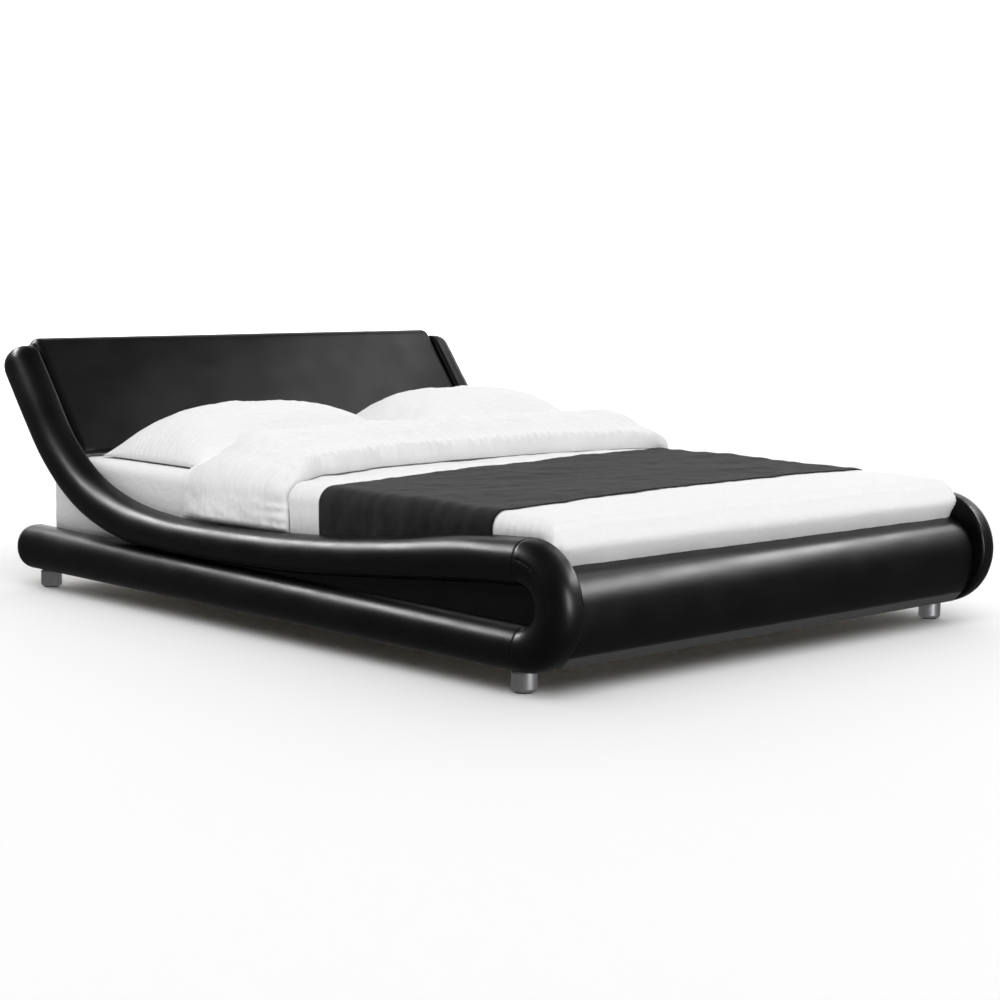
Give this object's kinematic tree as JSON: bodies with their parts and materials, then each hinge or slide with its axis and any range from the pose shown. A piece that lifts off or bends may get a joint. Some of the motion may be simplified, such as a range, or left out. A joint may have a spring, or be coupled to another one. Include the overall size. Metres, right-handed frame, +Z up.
{
  "type": "sleigh bed",
  "caption": "Low upholstered sleigh bed with S-curved padded side rolls, leaning headboard, padded footboard, metal feet, slatted base, mattress, duvet, throw and pillows.",
  "frame": {"origin": "middle of the bed's footprint, on the floor", "axes": "+X across the bed, to the right seen from the foot; +Y towards the headboard; +Z up"},
  "size_m": [1.714, 2.321, 0.7199],
  "materials": {
    "faux_leather": "semi-gloss black polyurethane leather over foam",
    "faux_leather_web": "black polyurethane leather on board",
    "backing_cloth": "black non-woven backing",
    "plywood": "birch plywood",
    "pine": "planed pine",
    "slat_wood": "bent beech veneer slats",
    "slat_cap_plastic": "black moulded plastic",
    "foot_metal": "satin turned aluminium",
    "zinc_steel": "zinc plated steel",
    "leg_steel": "black powder-coated tube",
    "glide_plastic": "black moulded glide",
    "sheet_cotton": "white fitted cotton sheet on a foam mattress",
    "duvet_cotton": "white seersucker cotton",
    "pillow_cotton": "white seersucker cotton",
    "throw_wool": "charcoal woven throw"
  },
  "bodies": {
    "bed_frame": {"beam_saddles": "zinc_steel", "centre_beam": "pine", "centre_leg_glides": "glide_plastic", "centre_legs": "leg_steel", "corner_bolts": "zinc_steel", "corner_brackets": "zinc_steel", "foot_bend_left": "faux_leather", "foot_bend_right": "faux_leather", "foot_front_left": "foot_metal", "foot_front_right": "foot_metal", "foot_glides": "glide_plastic", "foot_rear_left": "foot_metal", "foot_rear_right": "foot_metal", "foot_studs": "zinc_steel", "foot_washers": "zinc_steel", "footboard_board": "plywood", "footboard_pad": "faux_leather", "head_rail": "pine", "headboard_back": "backing_cloth", "headboard_board": "plywood", "headboard_bolts": "zinc_steel", "headboard_brackets": "zinc_steel", "headboard_pad": "faux_leather", "lower_roll_left": "faux_leather", "lower_roll_right": "faux_leather", "rail_bolts": "zinc_steel", "side_board_left": "plywood", "side_board_right": "plywood", "side_rail_left": "pine", "side_rail_right": "pine", "side_web_left": "faux_leather_web", "side_web_right": "faux_leather_web", "slat_caps_centre": "slat_cap_plastic", "slat_caps_left": "slat_cap_plastic", "slat_caps_right": "slat_cap_plastic", "slat_ledger_left": "pine", "slat_ledger_right": "pine", "slats_left": "slat_wood", "slats_right": "slat_wood", "upper_roll_left": "faux_leather", "upper_roll_right": "faux_leather"},
    "mattress": {"mattress": "sheet_cotton"},
    "duvet": {"duvet": "duvet_cotton"},
    "throw": {"throw": "throw_wool"},
    "pillow_left": {"pillow_left": "pillow_cotton"},
    "pillow_right": {"pillow_right": "pillow_cotton"}
  },
  "joints": [
    {"name": "mattress_tilt", "type": "hinge", "parent": "bed_frame", "child": "mattress", "pos_m": [0, 1.01951, 0.148], "axis": [-1, 0, 0], "range_deg": [0, 2.5]},
    {"name": "duvet_lift", "type": "slide", "parent": "mattress", "child": "duvet", "axis": [0, 0, 1], "range_m": [0, 0.45]},
    {"name": "throw_lift", "type": "slide", "parent": "duvet", "child": "throw", "axis": [0, 0, 1], "range_m": [0, 0.3]},
    {"name": "pillow_left_lift", "type": "slide", "parent": "mattress", "child": "pillow_left", "axis": [0, 0, 1], "range_m": [0, 0.5]},
    {"name": "pillow_right_lift", "type": "slide", "parent": "mattress", "child": "pillow_right", "axis": [0, 0, 1], "range_m": [0, 0.5]}
  ]
}
